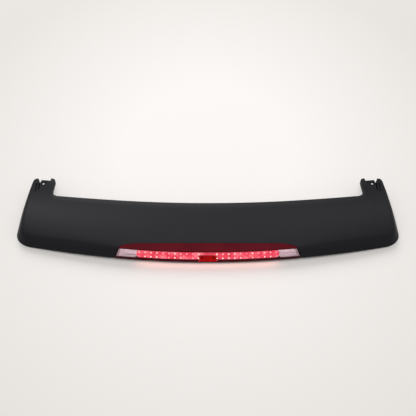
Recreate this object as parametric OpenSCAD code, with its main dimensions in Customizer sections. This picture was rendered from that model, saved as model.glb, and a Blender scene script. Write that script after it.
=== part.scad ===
// Hatchback roof spoiler with a third brake lamp in its trailing edge.
// X runs across the car, Y points to the front of the car and Z is up.
// The part lies top side up: the rear corners and the four seals stand on Z = 0.

/* [Plan] */
// Width over the rear corners
width = 1130; // [1080:5:1180]
// Depth from the middle of the trailing edge to the tips of the ears
depth = 332; // [320:2:350]
// Depth of the panel in the middle, from the trailing edge to the front edge
chord = 200; // [190:2:210]
// Radius of the trailing edge, seen from above
trail_r = 2000; // [1900:20:2400]
// Radius of the front edge, seen from above
front_r = 2150; // [2000:20:2400]
// Radius of the rear corners, seen from above
corner_r = 45; // [35:1:50]
// How much each side draws in from the rear corner to the ear tip
side_taper = 24; // [15:1:30]

/* [Ears] */
// Distance from the middle of the part to the inner edge of each ear
ear_inner_x = 472; // [464:1:476]
// Radius between the ear and the front edge
ear_root_r = 22; // [16:1:24]
// Radius of the inner corner of the ear tip
ear_inner_r = 13; // [10:1:14]
// Radius of the outer corner of the ear tip
ear_outer_r = 12; // [10:1:14]
// Distance between the two ear holes
ear_hole_span = 1010; // [1006:1:1014]
// Distance of the ear holes behind the ear tips
ear_hole_back = 28; // [26:1:30]
// Diameter of the ear holes
ear_hole_d = 8; // [7:0.1:8.2]
// Diameter of the rubber grommet in each ear
ear_grommet_d = 14; // [13.5:0.5:15]
// Width of the slot in each ear
ear_slot_w = 3.8; // [3:0.2:3.8]
// Distance from each ear tip to the end of the slot
ear_slot_len = 52; // [46:1:56]

/* [Section] */
// Wall of the outer skin
skin_wall = 2.8; // [2.4:0.1:3.2]
// Wall of the under panel
panel_wall = 2.5; // [2:0.1:3]
// Slope of the upper face along the car, in degrees
top_slope = 8; // [6:0.5:10]
// Height of the crease above the ground, in the middle
crease_z = 34; // [32:0.5:38]
// Height of the trailing lip above the ground, in the middle
lip_z = 8; // [8:0.5:10]
// Distance of the crease in front of the trailing lip
rear_lean = 16; // [13:0.5:18]
// How far the top edge leans in over the side wall, at the rear corner
side_lean = 15; // [12:0.5:17]
// How far the top edge leans in over the side wall, at the ear
ear_lean = 5; // [4:0.5:6]
// Drop of the trailing edge from the lamp to the rear corner
end_drop = 8; // [5:0.5:8]
// Drop of the front edge from the middle to the ear
front_drop = 10; // [6:0.5:12]
// Height of the flange along the front edge
front_flange = 12; // [11:0.5:14]
// Rounding of the crease over the rear face, beyond the lamp
rear_round = 13; // [8:0.5:14]
// Rounding of the crease beside the lamp
lamp_round = 4; // [2:0.5:5]
// Rounding of the top edge over the side wall
side_round = 9; // [6:0.5:10]
// Depth of the under panel's belly below a straight line
belly = 12; // [8:0.5:14]

/* [Lamp] */
// Length of the lamp along the crease
lamp_len = 515; // [490:5:520]
// How much further each end of the lamp reaches at the lip
lamp_end_flare = 10; // [8:1:14]
// Depth of the lamp's upper strip in the middle, in front of the crease
strip_depth = 32; // [28:1:34]
// Length of the rounding at each end of the strip
strip_round = 50; // [36:1:54]
// Gap between the lamp and the skin
lamp_gap = 0.8; // [0.5:0.1:1.2]
// Gap between the ends of the lamp and the skin
lamp_end_gap = 2; // [1.5:0.1:2.5]
// Wall of the lens
lens_wall = 2.7; // [2.4:0.1:3]
// Height of the red lip below the window, along the face
lip_h = 5; // [4:0.5:6]
// Height of the red edge above the window, along the face
brow_h = 2.5; // [2:0.5:3.5]
// Length of the lit optic
optic_len = 412; // [404:2:420]
// Number of light points in each row
led_n = 24; // [20:2:24]
// Distance between light points along a row
led_pitch = 17.2; // [16.5:0.1:17.8]
// Height of the lower row along the face
row_low = 10.5; // [10:0.5:12]
// Height of the upper row along the face
row_high = 22.5; // [21:0.5:23]
// Width of the red block in the middle of the window, at its top
block_w = 54; // [50:1:56]
// Height of the top of the red block along the face
block_top = 19.5; // [18:0.5:21]
// Distance between the two screws in the red block
block_screw_span = 33; // [30:1:34]

/* [Fixings] */
// Distance between the two inner mounting domes
inner_span = 360; // [320:10:420]
// Distance between the two outer mounting domes
outer_span = 820; // [780:10:840]
// Distance of the inner domes in front of the trailing edge
inner_dome_y = 168; // [160:2:174]
// Distance of the outer domes in front of the trailing edge
outer_dome_y = 200; // [190:2:206]
// Diameter of a dome at its foot
dome_d = 26; // [24:1:30]
// Diameter of a dome where it leaves the panel
dome_root_d = 38; // [34:1:40]
// Outer diameter of a threaded insert
insert_d = 9; // [8:0.5:10]
// Thread bore of an insert
insert_bore = 5; // [4.2:0.1:5.2]
// Length of a threaded insert
insert_len = 14; // [10:1:16]
// Thickness of the seal under a dome
seal_h = 4; // [3:0.5:5]

/* [Hidden] */
$fn = 48;

// Places that follow from the plan
trail_y = -depth / 2;
tip_y = depth / 2;
front_y = trail_y + chord;
half_w = width / 2;
trail_cy = trail_y + trail_r;
face_h = crease_z - lip_z;
face_len = sqrt(rear_lean * rear_lean + face_h * face_h);
face_angle = atan(face_h / rear_lean);

// Stations of the loft: along each half of the edges, and along each side
arc_n = 9;
root_n = 4;
straight_n = 4;
corner_n = 8;
side_n = 8;
half_n = arc_n + straight_n + corner_n;

function lerp(a, b, t) = a + (b - a) * t;
function ease(t) = let (c = min(1, max(0, t))) c * c * (3 - 2 * c);
function arc_y(x, y0, r) = y0 + r - sqrt(r * r - x * x);
function mirrored(p) = [-p.x, p.y];

side_y0 = arc_y(half_w, trail_y, trail_r) + corner_r;
function side_x(y) = half_w - side_taper * pow(max(0, y - side_y0) / (tip_y - side_y0), 2);

arc_end = ear_inner_x - ear_root_r;
corner_x = half_w - corner_r;

// Trailing edge from the middle out, ending at the tangent point on the side
rear_half = concat(
  [for (i = [0 : arc_n]) let (x = arc_end * i / arc_n) [x, arc_y(x, trail_y, trail_r)]],
  [for (i = [1 : straight_n]) let (x = lerp(arc_end, corner_x, i / straight_n))
    [x, arc_y(x, trail_y, trail_r)]],
  [for (i = [1 : corner_n]) let (a = 90 * i / corner_n, x = corner_x + corner_r * sin(a))
    [x, arc_y(x, trail_y, trail_r) + corner_r * (1 - cos(a))]]
);

// Front edge from the middle out, round the ear to its outer corner
root_y = arc_y(arc_end, front_y, front_r);
outer_cy = tip_y - ear_outer_r;
outer_cx = side_x(outer_cy) - ear_outer_r;
inner_top = tip_y - 8;
front_half = concat(
  [for (i = [0 : arc_n]) let (x = arc_end * i / arc_n) [x, arc_y(x, front_y, front_r)]],
  [for (i = [1 : root_n]) let (a = 90 * i / root_n)
    [arc_end + ear_root_r * sin(a), root_y + ear_root_r * (1 - cos(a))]],
  [[ear_inner_x - 2, lerp(root_y, inner_top, 0.6)]],
  [for (a = [0 : 45 : 90])
    [ear_inner_x - 4 + ear_inner_r * (1 - cos(a)), inner_top - ear_inner_r * (1 - sin(a))]],
  [[lerp(ear_inner_x, outer_cx, 0.55), lerp(inner_top, tip_y, 0.55)]],
  [for (a = [0 : 45 : 90]) [outer_cx + ear_outer_r * sin(a), outer_cy + ear_outer_r * cos(a)]]
);

// Front edge of the under panel, which passes below the ears without following them
low_side_y = arc_y(side_x(tip_y - 60), front_y, front_r);
low_front_half = [for (i = [0 : half_n]) let (x = side_x(low_side_y) * i / half_n)
  [x, arc_y(x, front_y, front_r)]];

function half_loop(front) =
  let (a = rear_half[half_n], b = front[half_n])
  concat(
    rear_half,
    [for (j = [1 : side_n - 1]) let (y = lerp(a.y, b.y, j / side_n)) [side_x(y), y]],
    [for (i = [half_n : -1 : 0]) front[i]]
  );
skin_half = half_loop(front_half);
panel_half = half_loop(low_front_half);
last = len(skin_half) - 1;

function wrapped(half, k) =
  k < 0 ? mirrored(half[-k]) : k > last ? mirrored(half[2 * last - k]) : half[k];
function outward(half, k) =
  let (t = wrapped(half, k + 1) - wrapped(half, k - 1)) [t.y, -t.x] / norm(t);
function inset(half, k, d) = half[k] - outward(half, k) * d;

// Upper face of the part above any point of the plan
fall_start = lamp_len / 2 + 10;
// The front edge's drop comes in over the panel's depth less this length
drop_short = 50;
function end_share(x) = pow(max(0, abs(x) - fall_start) / (half_w - fall_start), 2);
function top_z(p) =
  let (d = trail_r - rear_lean - norm([p.x, p.y - trail_cy]))
  crease_z + d * tan(top_slope) - end_drop * end_share(p.x)
    - front_drop * pow(p.x / ear_inner_x, 2) * ease((d - strip_depth - 2) / (chord - drop_short));

// Under panel: lower face above any point of the plan
panel_seat = 3;
function panel_z(p) =
  let (
    x = min(abs(p.x), half_w - corner_r / 2),
    y0 = arc_y(x, trail_y, trail_r),
    y1 = arc_y(x, front_y, front_r),
    v = min(1, max(0, (p.y - y0) / (y1 - y0)))
  )
  panel_seat + lerp(lip_z * (1 - end_share(x)), top_z([x, y1]) - front_flange, v)
    - belly * sin(180 * v) * (1 - pow(x / half_w, 4));

// Values round the edge: 0 at the trailing edge, 1 at the front edge
function side_share(k) = min(1, max(0, (k - half_n) / side_n));
function lean(k, p) =
  k <= half_n ? lerp(rear_lean, side_lean, ease((p.x - corner_x) / corner_r))
  : k < half_n + side_n ? lerp(side_lean, ear_lean, side_share(k))
  : lerp(1, ear_lean, ease((p.x - outer_cx + 10) / 20));
function edge_round(k, p) =
  k <= half_n ? lerp(lerp(lamp_round, rear_round, ease((p.x - fall_start) / 100)), side_round,
                     ease((p.x - corner_x) / corner_r))
  : k < half_n + side_n ? lerp(side_round, 4, side_share(k))
  : lerp(1.5, 4, ease((p.x - outer_cx + 10) / 20));
function foot_z(k, p) =
  k <= half_n ? lip_z * (1 - end_share(p.x))
  : lerp(0, top_z(p) - front_flange, ease(side_share(k)));

// Points of one half ring of the skin. The ring's place runs down the section:
// 0 top face, 1 to 3 over the edge, 4 foot, 5 inner foot, 6 inner edge, 7 inner top face
function skin_point(k, ring) =
  let (
    p = skin_half[k], s = lean(k, p), r = edge_round(k, p), zf = foot_z(k, p),
    crease = inset(skin_half, k, s), zc = top_z(crease),
    start = inset(skin_half, k, s + r),
    slant = r / norm([s, zc - zf]),
    stop = inset(skin_half, k, s * (1 - slant)), z_stop = lerp(zc, zf, slant),
    a = [start.x, start.y, top_z(start)],
    b = [crease.x, crease.y, zc],
    c = [stop.x, stop.y, z_stop],
    t = ring / 3
  )
  ring <= 3 ? a * pow(1 - t, 2) + b * 2 * t * (1 - t) + c * t * t
  : ring == 4 ? [p.x, p.y, zf]
  : ring == 5 ? let (q = inset(skin_half, k, skin_wall)) [q.x, q.y, zf]
  : ring == 6 ? let (q = inset(skin_half, k, s * 0.9 + skin_wall)) [q.x, q.y, top_z(q) - skin_wall - r / 2]
  : let (q = inset(skin_half, k, s + r + skin_wall * 0.8)) [q.x, q.y, top_z(q) - skin_wall];

// Outline of the under panel, which sits inside the skin's foot: further in where the skin leans
panel_rear_inset = skin_wall + 6.4;
panel_side_inset = skin_wall + 9.8;
panel_front_inset = skin_wall + 1.4;
panel_corner_inset = skin_wall + 14.6;
function panel_inset(k) =
  k < half_n ? panel_rear_inset
  : k < half_n + side_n ? panel_side_inset
  : k == half_n + side_n ? panel_corner_inset
  : panel_front_inset;
panel_outline = [for (k = [0 : last]) let (q = inset(panel_half, k, panel_inset(k))) [q.x, q.y, 0]];

function full_ring(half) = concat(half, [for (k = [last - 1 : -1 : 1]) [-half[k].x, half[k].y, half[k].z]]);

// Grid of points that fills a half ring, mirrored to both halves
function grid_point(half, i, j) =
  let (
    k = abs(i), v = j / side_n,
    s0 = half[half_n], s1 = half[half_n + side_n],
    bulge = half[half_n + j] - lerp(s0, s1, v),
    p = lerp(half[k], half[last - k], v) + bulge * pow(k / half_n, 3)
  )
  [i < 0 ? -p.x : p.x, p.y, p.z];
function grid(half) = [for (i = [-half_n : half_n]) for (j = [0 : side_n]) grid_point(half, i, j)];
function at_top(points, drop) = [for (p = points) [p.x, p.y, top_z(p) - drop]];

row_n = side_n + 1;
grid_n = (2 * half_n + 1) * row_n;
ring_n = 2 * last;
function grid_at(i, j) = (i + half_n) * row_n + j;
function edge_at(b) =
  let (k = b <= last ? b : 2 * last - b, side = b <= last ? 1 : -1)
  k <= half_n ? grid_at(side * k, 0)
  : k < half_n + side_n ? grid_at(side * half_n, k - half_n)
  : grid_at(side * (last - k), side_n);
function grid_faces(base, flip) = [
  for (i = [-half_n : half_n - 1]) for (j = [0 : side_n - 1])
    let (a = base + grid_at(i, j), b = base + grid_at(i, j + 1),
         c = base + grid_at(i + 1, j + 1), d = base + grid_at(i + 1, j))
    each flip ? [[a, c, b], [a, d, c]] : [[a, b, c], [a, c, d]]
];
function strip_faces(above, below) = [
  for (b = [0 : ring_n - 1]) let (n = (b + 1) % ring_n)
    each [[above[b], above[n], below[n]], [above[b], below[n], below[b]]]
];
function ring_index(m) = [for (b = [0 : ring_n - 1]) grid_n + m * ring_n + b];

// A solid between two grids, joined round the edge by any number of rings
module lofted(first_grid, rings, last_grid) {
  count = len(rings);
  base = grid_n + count * ring_n;
  loops = concat(
    [[for (b = [0 : ring_n - 1]) edge_at(b)]],
    [for (m = [0 : 1 : count - 1]) ring_index(m)],
    [[for (b = [0 : ring_n - 1]) base + edge_at(b)]]
  );
  polyhedron(
    points = concat(first_grid, [for (r = rings) each r], last_grid),
    faces = concat(
      grid_faces(0, false),
      [for (m = [0 : len(loops) - 2]) each strip_faces(loops[m], loops[m + 1])],
      grid_faces(base, true)
    )
  );
}

function skin_ring(ring) = [for (k = [0 : last]) skin_point(k, ring)];

module skin_body() {
  lofted(
    at_top(grid(skin_ring(0)), 0),
    [for (ring = [1 : 6]) full_ring(skin_ring(ring))],
    at_top(grid(skin_ring(7)), skin_wall)
  );
}

function at_panel(points, up) = [for (p = points) [p.x, p.y, panel_z(p) + up]];
module panel_body() {
  lofted(at_panel(grid(panel_outline), panel_wall), [], at_panel(grid(panel_outline), 0));
}

// Places on the swept rear face: along the arc, then up the slanted face
module at_arc(x) {
  translate([0, trail_cy, 0]) rotate([0, 0, asin(x / trail_r)]) translate([0, -trail_cy, 0]) children();
}
module on_face(up) {
  translate([0, trail_y, lip_z]) rotate([face_angle, 0, 0]) translate([0, up, 0]) children();
}
// A section swept along the trailing edge. Its points are [distance in front of the lip, height].
sweep_fn = 720;
module swept(section, half_length) {
  span = asin(half_length / trail_r);
  translate([0, trail_cy, 0])
    rotate([0, 0, -90 - span])
      rotate_extrude(angle = 2 * span, $fn = sweep_fn)
        polygon([for (p = section) [trail_r - p.x, p.y]]);
}
function face_point(up, depth_in) =
  [up * cos(face_angle) + depth_in * sin(face_angle),
   lip_z + up * sin(face_angle) - depth_in * cos(face_angle)];

// Plan of the lamp, smaller than its opening by a gap along the edges and one at the ends
strip_y = trail_y + rear_lean + strip_depth;
// The plan's ends bend a little behind the crease
plan_bend = 0.6;
module lamp_plan(gap, end_gap) {
  half = lamp_len / 2 - end_gap;
  crease_y = arc_y(half, trail_y + rear_lean, trail_r - rear_lean) - plan_bend;
  top = strip_y - gap;
  steps = 8;
  right = concat(
    [[half + lamp_end_flare * 2, crease_y - rear_lean * 1.4]],
    [for (s = [0 : steps]) let (a = 90 * s / steps)
      [half - strip_round + strip_round * cos(a), crease_y + (top - crease_y) * sin(a)]]
  );
  polygon(concat(
    [[-half - lamp_end_flare * 2, trail_y - 20], [half + lamp_end_flare * 2, trail_y - 20]],
    right,
    [for (m = [len(right) - 1 : -1 : 0]) mirrored(right[m])]
  ));
}
module lamp_prism(gap, end_gap, z0, z1) {
  translate([0, 0, z0]) linear_extrude(z1 - z0) lamp_plan(gap, end_gap);
}

// Height of the cutters that pass right through the part
through = 80;

// Ear details: the hole, the slot and the groove beside it, the notch and the two tips
ear_hole_x = ear_hole_span / 2;
ear_hole_y = tip_y - ear_hole_back;
slot_x = ear_hole_x + 12.6;
slot_deep = 8;
groove_x = slot_x + 9;
groove_w = 3.6;
groove_deep = 4.5;
groove_start = 59;
groove_len = 36;
channel_wall = 2;
// The grommet's flange sinks into the skin and rests on a shelf
ear_sink = 1.5;
ear_shelf = 1.9;
flange_h = 1.4;
function ear_slope(x, y) = atan((top_z([x, y + 10]) - top_z([x, y - 10])) / 20);
module on_ear(x, y) {
  translate([x, y, top_z([x, y])]) rotate([ear_slope(x, y), 0, 0]) children();
}
// A straight channel that runs forward in the skin: its trough, or its wall below the skin
module ear_channel(x, y, w, length, deep) {
  on_ear(x, y) translate([-w / 2, 0, -deep]) cube([w, length, deep + 6]);
}
module ear_channel_wall(x, y, w, length, deep) {
  on_ear(x, y) translate([-w / 2 - channel_wall, -channel_wall, -deep - channel_wall])
    cube([w + 2 * channel_wall, length + 2 * channel_wall, deep + channel_wall - 1]);
}
module both_sides() {
  children();
  mirror([1, 0, 0]) children();
}
// The hollow between the two prongs, which ends in a notch at the slot
module ear_hollow() {
  translate([0, 0, -1]) linear_extrude(through) polygon([
    [ear_inner_x + 9, tip_y + 5],
    [ear_inner_x + 11, tip_y - 11],
    [ear_inner_x + 13, tip_y - 19],
    [slot_x - 5, tip_y - 12.5],
    [slot_x - 2, tip_y - 24],
    [slot_x + 9.5, tip_y + 5]
  ]);
}
module ear_cuts() {
  ear_channel(slot_x, tip_y - ear_slot_len, ear_slot_w, ear_slot_len - 24, slot_deep);
  ear_channel(groove_x, tip_y - groove_start, groove_w, groove_len, groove_deep);
  // The stepped hole for the grommet
  on_ear(ear_hole_x, ear_hole_y) {
    translate([0, 0, -10]) cylinder(h = 20, d = ear_grommet_d - 3);
    translate([0, 0, -ear_sink]) cylinder(h = 20, d = ear_grommet_d + 0.4);
  }
}
module ear_underside() {
  on_ear(ear_hole_x, ear_hole_y) translate([0, 0, -ear_sink - ear_shelf])
    cylinder(h = ear_shelf, d = ear_grommet_d + 5);
  ear_channel_wall(slot_x, tip_y - ear_slot_len, ear_slot_w, ear_slot_len - 24, slot_deep);
  ear_channel_wall(groove_x, tip_y - groove_start, groove_w, groove_len, groove_deep);
  // Ribs that stiffen the ear
  for (x = [ear_inner_x + 6, ear_inner_x + 18])
    on_ear(x, tip_y - 66) translate([0, 0, -10]) cube([2, 40, 9]);
}

// Places on the under panel, with Z along its outward face or straight down
function panel_tilt(x, y) = atan((panel_z([x, y + 4]) - panel_z([x, y - 4])) / 8);
module on_panel(x, y) {
  translate([x, y, panel_z([x, y])]) rotate([panel_tilt(x, y), 0, 0]) children();
}
module below_panel(x, y) {
  translate([x, y, panel_z([x, y])]) children();
}

// Places of the fixings
function front_at(x) = arc_y(x, front_y, front_r);
dome_places = [
  [-outer_span / 2, trail_y + outer_dome_y], [-inner_span / 2, trail_y + inner_dome_y],
  [inner_span / 2, trail_y + inner_dome_y], [outer_span / 2, trail_y + outer_dome_y]
];
side_screw_inset = 50;
side_screw_x = half_w - side_screw_inset;
side_screw_back = 70;
outer_screw_x = 300;
inner_screw_x = 100;
screw_back = 34;
shell_screw_places = [
  for (x = [-side_screw_x, -outer_screw_x, -inner_screw_x, inner_screw_x, outer_screw_x, side_screw_x])
    [x, front_at(x) - (abs(x) > outer_screw_x ? side_screw_back : screw_back)]
];
boss_d = 8.5;
boss_gap = 1.8;
pilot_d = 3;
lamp_screw_x = 150;
lamp_screw_front = 10;
lamp_screw_places = [for (x = [-lamp_screw_x, lamp_screw_x]) [x, strip_y + lamp_screw_front]];
clip_x = 310;
clip_back = 30;
clip_places = [for (x = [-clip_x, 0, clip_x]) [x, front_at(x) - clip_back]];
// One pad stands at each side and one inboard of each outer dome
pad_side_inset = 85;
pad_side_x = half_w - pad_side_inset;
pad_from_dome = 115;
pad_inner_x = outer_span / 2 - pad_from_dome;
pad_back = 62;
pad_places = [for (x = [-pad_side_x, -pad_inner_x, pad_inner_x, pad_side_x]) [x, front_at(x) - pad_back]];
cable_front = 90;
cable_place = [0, trail_y + cable_front];
cable_bore = 8;
grommet_hole = 16;
screw_shank = 3.8;
screw_head = 8;
head_h = 2.4;
screw_len = 10;
thread_d = 2.8;
screw_seat = 0.9;

module upper_shell() {
  color("#2f2f31") difference() {
    union() {
      difference() {
        skin_body();
        both_sides() ear_hollow();
      }
      both_sides() ear_underside();
      // Bosses for the screws of the under panel
      for (p = shell_screw_places) {
        boss_z = panel_z(p) + panel_wall + boss_gap;
        translate([p.x, p.y, boss_z]) cylinder(h = top_z(p) - boss_gap - boss_z, d = boss_d);
      }
    }
    both_sides() ear_cuts();
    lamp_prism(0, 0, -1, 60);
    for (p = shell_screw_places)
      translate([p.x, p.y, panel_z(p)]) cylinder(h = top_z(p) - skin_wall - 2 - panel_z(p), d = pilot_d);
  }
}

// A dome tapers from the panel down to its foot
dome_sink = 5;
module dome(p) {
  root = panel_z(p) + dome_sink;
  translate([p.x, p.y, seal_h]) cylinder(h = root - seal_h, d1 = dome_d, d2 = dome_root_d);
}
module clip_tab(p) {
  translate([p.x - 6, p.y - 1, panel_z(p) - 14]) cube([12, 2, 15]);
}

module lower_shell() {
  color("#232325") difference() {
    union() {
      panel_body();
      for (p = dome_places) dome(p);
      for (p = clip_places) clip_tab(p);
    }
    lamp_prism(-1, -1, -1, 60);
    for (p = dome_places) {
      translate([p.x, p.y, -1]) cylinder(h = 1 + seal_h + insert_len, d = insert_d);
      translate([p.x, p.y, -1]) cylinder(h = 1 + seal_h + insert_len + 5, d = insert_bore + 1);
    }
    for (p = concat(shell_screw_places, lamp_screw_places)) below_panel(p.x, p.y) {
      translate([0, 0, -10]) cylinder(h = 20, d = screw_shank + 0.6);
      translate([0, 0, -10]) cylinder(h = 10 + screw_seat, d = screw_head + 1);
    }
    on_panel(cable_place.x, cable_place.y) translate([0, 0, -10]) cylinder(h = 20, d = grommet_hole);
  }
}

// Sections of the lamp
function strip_under(d) = crease_z + (d - rear_lean) * tan(top_slope) - lens_wall;
brow = face_len - brow_h;
frame_floor = lip_z + 2.4;
frame_reach = 9;
lamp_half = lamp_len / 2 + lamp_end_flare + 6;
// The red block stands a little proud of the face, with its foot in the lip
block_proud = 0.4;
block_deep = 6;
module block_bulk(grow) {
  intersection() {
    on_face(0) translate([0, 0, -block_deep - grow]) linear_extrude(block_deep + block_proud + 2 * grow) polygon([
      [-block_w / 2 + 5 - grow, lip_h - 1], [block_w / 2 - 5 + grow, lip_h - 1],
      [block_w / 2 + grow, block_top - 3], [block_w / 2 - 7 + grow, block_top + grow],
      [-block_w / 2 + 7 - grow, block_top + grow], [-block_w / 2 - grow, block_top - 3]
    ]);
    translate([-block_w, trail_y - 10, lip_z + 0.6]) cube([2 * block_w, 50, 40]);
  }
}
block_screw_up = 13;
block_head_seat = 4.4;
block_head_hole = 7;
module at_block_screws() {
  for (x = [-block_screw_span / 2, block_screw_span / 2])
    at_arc(x) on_face(block_screw_up) children();
}

module lens_frame() {
  color("#5e1a20") difference() {
    intersection() {
      union() {
        // Upper strip with the brow over the window
        swept([
          face_point(brow, 0), [rear_lean, crease_z],
          [rear_lean + strip_depth + 4, strip_under(rear_lean + strip_depth + 4) + lens_wall],
          [rear_lean + strip_depth + 4, strip_under(rear_lean + strip_depth + 4)],
          face_point(face_len - 1.6, lens_wall), face_point(brow, lens_wall)
        ], lamp_half);
        // Lip with its foot
        swept([
          [0, lip_z], face_point(lip_h, 0), face_point(lip_h, lens_wall),
          [frame_reach, frame_floor], [frame_reach, lip_z]
        ], lamp_half);
        // End walls behind the window
        intersection() {
          swept([
            [frame_reach - 4, lip_z], face_point(lip_h, lens_wall + 0.3), face_point(brow, lens_wall + 0.3),
            [36, strip_under(36) + 1], [36, lip_z]
          ], lamp_half);
          difference() {
            lamp_prism(lamp_gap, lamp_end_gap, 0, 60);
            lamp_prism(lamp_gap + lens_wall, lamp_end_gap + lens_wall, -1, 61);
          }
        }
        block_bulk(0);
      }
      lamp_prism(lamp_gap, lamp_end_gap, 0, 60);
    }
    at_block_screws() {
      translate([0, 0, -block_head_seat]) cylinder(h = 8, d = block_head_hole);
      translate([0, 0, -20]) cylinder(h = 22, d = pilot_d);
    }
  }
}

module lens_window() {
  color("#d9a6b4") difference() {
    intersection() {
      swept([
        face_point(lip_h + 0.2, 0.3), face_point(brow - 0.2, 0.3),
        face_point(brow - 0.2, lens_wall), face_point(lip_h + 0.2, lens_wall)
      ], lamp_half);
      lamp_prism(lamp_gap, lamp_end_gap, 0, 60);
    }
    block_bulk(0.2);
  }
}

// Light points along the arc, apart from those behind the block
led_end = (led_n - 1) / 2 * led_pitch;
led_columns = [for (i = [0 : led_n - 1]) let (x = i * led_pitch - led_end) if (abs(x) > led_pitch) x];
optic_low = lip_h + 2;
optic_high = face_len - 2.5;
optic_r = (optic_high - optic_low) / 2;
optic_depth = 4;
optic_wall = 2.4;

// Point of the swept face at a place along the arc, in space
function face_3d(x, up, depth_in) =
  let (q = face_point(up, depth_in), r = trail_r - q.x, a = asin(x / trail_r))
  [r * sin(a), trail_cy - r * cos(a), q.y];

// The optic is one strip with round ends and a pillow over each light point
pillow_r = 6;
pillow_h = 1.1;
per_pitch = 4;
optic_rows = 8;
optic_mid = optic_low + optic_r;
optic_end = optic_len / 2 - optic_r;
pillow_steps = floor(optic_end / led_pitch * per_pitch - 0.2);
optic_pitch = led_pitch / per_pitch;
bridge_end = block_w / 2 + 0.5;
bridge_step = 1.5;
optic_half_stations = concat(
  [for (i = [1 : pillow_steps]) if (i * optic_pitch < bridge_end - 0.5) i * optic_pitch],
  [bridge_end, bridge_end + bridge_step],
  [for (i = [1 : pillow_steps]) if (i * optic_pitch > bridge_end + bridge_step + 0.5) i * optic_pitch],
  [for (a = [0, 20, 40, 60, 75]) optic_end + optic_r * sin(a)]
);
optic_stations = concat(
  [for (i = [len(optic_half_stations) - 1 : -1 : 0]) -optic_half_stations[i]],
  [0],
  optic_half_stations
);
function pillow_at(x, up, c, row) = pillow_h * (1 - (pow(c - x, 2) + pow(up - row, 2)) / pow(pillow_r, 2));
function optic_relief(x, up) = max(concat([0], [
  for (row = [row_low, row_high]) for (c = led_columns) if (abs(c - x) < pillow_r) pillow_at(x, up, c, row)
]));
// The strip's lower edge rises over the block, which leaves a bridge above it
function optic_section(x) =
  let (
    reach = max(0, abs(x) - optic_end),
    half = sqrt(optic_r * optic_r - reach * reach),
    high = optic_mid + half,
    low = abs(x) <= bridge_end ? block_top + 0.8 : optic_mid - half
  )
  concat(
    [for (j = [0 : optic_rows]) let (up = lerp(low, high, j / optic_rows))
      face_3d(x, up, optic_depth - optic_relief(x, up))],
    [face_3d(x, high, optic_depth + optic_wall), face_3d(x, low, optic_depth + optic_wall)]
  );

// A solid swept through closed sections with the same number of points
module swept_sections(sections) {
  count = len(sections[0]);
  polyhedron(points = [for (q = sections) each q], faces = concat(
    [[for (m = [0 : count - 1]) m]],
    [for (i = [0 : len(sections) - 2]) for (m = [0 : count - 1])
      let (a = i * count + m, b = i * count + (m + 1) % count)
      each [[a, a + count, b + count], [a, b + count, b]]],
    [[for (m = [count - 1 : -1 : 0]) (len(sections) - 1) * count + m]]
  ));
}
module lamp_optic() {
  color("#f0455c") swept_sections([for (x = optic_stations) optic_section(x)]);
}

reflector_back = 24;
reflector_lip = 21;
reflector_floor = frame_floor + 0.4;
reflector_roof = 30;
sheet = 1.2;
led_low_z = 16;
led_high_z = 26;
// The reflector's floor reaches forward to the window beyond both ends of the optic
ledge_reach = 6.6;
module reflector_ledges() {
  difference() {
    swept([
      [ledge_reach, reflector_floor], [frame_reach + 3, reflector_floor],
      [frame_reach + 3, reflector_floor + sheet], [ledge_reach, reflector_floor + sheet]
    ], lamp_half);
    translate([-optic_len / 2 - 1.5, trail_y - 10, 0]) cube([optic_len + 3, 60, 60]);
  }
}
module lamp_reflector() {
  color("#cfcfd2") difference() {
    intersection() {
      union() {
        reflector_ledges();
        swept([
          [frame_reach + 1.5, reflector_floor], [reflector_back + sheet, reflector_floor],
          [reflector_back + sheet, reflector_roof + sheet], [reflector_lip, reflector_roof + sheet],
          [reflector_lip, reflector_roof], [reflector_back, reflector_roof],
          [reflector_back, reflector_floor + sheet], [frame_reach + 1.5, reflector_floor + sheet]
        ], lamp_half);
        intersection() {
          swept([
            [frame_reach + 1.5, reflector_floor], [reflector_lip, reflector_roof],
            [reflector_back + sheet, reflector_roof],
            [reflector_back + sheet, reflector_floor]
          ], lamp_half);
          difference() {
            lamp_prism(tray_gap, tray_end_gap, 0, 60);
            lamp_prism(tray_gap + sheet, tray_end_gap + sheet, -1, 61);
          }
        }
      }
      lamp_prism(tray_gap, tray_end_gap, 0, 60);
    }
    for (x = led_columns) for (z = [led_low_z, led_high_z])
      at_arc(x) translate([0, trail_y + reflector_back - 2, z]) rotate([-90, 0, 0]) cylinder(h = 5, d = 5);
  }
}

board_d = reflector_back + sheet + 1.8;
board_wall = 1.6;
board_end = 5;
module led_board() {
  color("#2f6b45") swept([
    [board_d, frame_floor + 1], [board_d + board_wall, frame_floor + 1],
    [board_d + board_wall, reflector_roof + 1], [board_d, reflector_roof + 1]
  ], led_end + board_end);
}
module leds() {
  color("#f2efe2") for (x = led_columns) for (z = [led_low_z, led_high_z])
    at_arc(x) translate([-1.75, trail_y + board_d - 1.9, z - 1.4]) cube([3.5, 1.9, 2.8]);
}

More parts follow.
